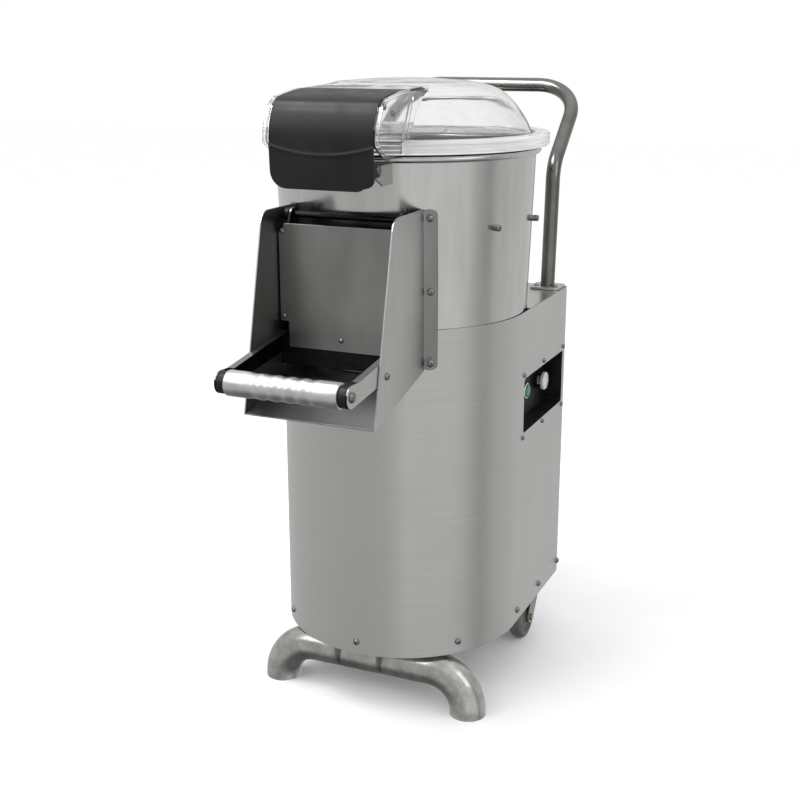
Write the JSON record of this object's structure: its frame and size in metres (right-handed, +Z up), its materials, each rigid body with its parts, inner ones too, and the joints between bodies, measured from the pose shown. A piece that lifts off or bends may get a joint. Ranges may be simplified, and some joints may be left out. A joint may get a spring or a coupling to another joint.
{
  "type": "floor-standing potato peeler",
  "caption": "Upright drum peeler with a clear front-hinged lid, lever discharge door with roller grip, recessed controls, push handle, tube foot and rear castors.",
  "frame": {"origin": "on the floor under the middle of the bounding box", "axes": "+Z up, -Y towards the discharge chute and door grip, +X towards the start and stop buttons"},
  "size_m": [0.464, 0.8573, 1.025],
  "materials": {
    "stainless": "brushed stainless sheet",
    "polished_stainless": "polished stainless tube",
    "turned_aluminium": "turned",
    "clear_polycarbonate": "clear moulded",
    "black_plastic": "moulded, fine grain",
    "black_rubber": "matt",
    "grey_rubber": "matt",
    "abrasive_grit": "coarse grit",
    "zinc_steel": "zinc plated",
    "cast_iron": "as cast",
    "motor_paint": "enamel",
    "chrome": "polished",
    "green_plastic": "moulded",
    "white_plastic": "moulded"
  },
  "bodies": {
    "chassis": {"body_shell": "stainless", "rear_panel": "stainless", "top_deck": "stainless", "base_pan": "stainless", "drum": "stainless", "drum_floor": "stainless", "drain_outlet": "stainless", "hinge_ear_left": "stainless", "hinge_ear_right": "stainless", "chute_left_side": "stainless", "chute_right_side": "stainless", "chute_floor": "stainless", "handle_flange_left": "stainless", "handle_flange_right": "stainless", "foot_gusset_left": "stainless", "foot_gusset_right": "stainless", "hinge_rod": "polished_stainless", "door_pivot_rod": "polished_stainless", "push_handle": "polished_stainless", "front_foot": "polished_stainless", "pivot_boss_left": "black_plastic", "pivot_boss_right": "black_plastic", "control_box": "black_plastic", "switch_block": "black_plastic", "castor_carrier": "black_plastic", "cable_gland": "black_plastic", "shaft_seal": "black_rubber", "drive_belt": "black_rubber", "abrasive_liner": "abrasive_grit", "upper_bearing": "zinc_steel", "lower_bearing": "zinc_steel", "drive_frame": "zinc_steel", "bearing_housing": "cast_iron", "motor": "motor_paint", "water_inlet": "chrome", "start_bezel": "chrome", "stop_bezel": "chrome"},
    "lid": {"lid": "clear_polycarbonate", "lid_hood": "black_plastic", "rim_gasket": "black_rubber"},
    "door": {"door_plate": "stainless", "door_frame": "stainless", "door_plug": "black_plastic", "grip": "turned_aluminium", "grip_ring_left": "black_plastic", "grip_ring_right": "black_plastic", "grip_rod": "chrome"},
    "spindle": {"spindle": "zinc_steel", "abrasive_disc": "abrasive_grit", "driven_pulley": "cast_iron"},
    "motor_rotor": {"motor_shaft": "zinc_steel", "motor_pulley": "cast_iron"},
    "start_button": {"start_button": "green_plastic"},
    "stop_button": {"stop_button": "white_plastic"},
    "castor_left": {"castor_fork_left": "zinc_steel", "castor_axle_left": "zinc_steel"},
    "castor_right": {"castor_fork_right": "zinc_steel", "castor_axle_right": "zinc_steel"},
    "wheel_left": {"castor_wheel_left": "grey_rubber"},
    "wheel_right": {"castor_wheel_right": "grey_rubber"}
  },
  "joints": [
    {"name": "lid_hinge", "type": "hinge", "parent": "chassis", "child": "lid", "pos_m": [0, -0.24275, 0.904], "axis": [1, 0, 0], "range_deg": [0, 95]},
    {"name": "door_swing", "type": "hinge", "parent": "chassis", "child": "door", "pos_m": [0, -0.20375, 0.829], "axis": [-1, 0, 0], "range_deg": [0, 50]},
    {"name": "disc_spin", "type": "hinge", "parent": "chassis", "child": "spindle", "pos_m": [0, 0.01625, 0.59], "axis": [0, 0, 1], "continuous": true},
    {"name": "motor_spin", "type": "hinge", "parent": "chassis", "child": "motor_rotor", "pos_m": [0, 0.16625, 0.47], "axis": [0, 0, 1], "continuous": true},
    {"name": "start_press", "type": "slide", "parent": "chassis", "child": "start_button", "axis": [-1, 0, 0], "range_m": [0, 0.004], "stiffness_N_per_m": 400},
    {"name": "stop_press", "type": "slide", "parent": "chassis", "child": "stop_button", "axis": [-1, 0, 0], "range_m": [0, 0.004], "stiffness_N_per_m": 400},
    {"name": "castor_swivel_left", "type": "hinge", "parent": "chassis", "child": "castor_left", "pos_m": [-0.165, 0.22125, 0.09], "axis": [0, 0, 1], "continuous": true},
    {"name": "wheel_roll_left", "type": "hinge", "parent": "castor_left", "child": "wheel_left", "pos_m": [-0.165, 0.18625, 0.04], "axis": [1, 0, 0], "continuous": true},
    {"name": "castor_swivel_right", "type": "hinge", "parent": "chassis", "child": "castor_right", "pos_m": [0.165, 0.22125, 0.09], "axis": [0, 0, 1], "continuous": true},
    {"name": "wheel_roll_right", "type": "hinge", "parent": "castor_right", "child": "wheel_right", "pos_m": [0.165, 0.18625, 0.04], "axis": [1, 0, 0], "continuous": true}
  ],
  "couplings": [
    {"joint": "motor_spin", "follows": "disc_spin", "ratio": 3.6364}
  ]
}
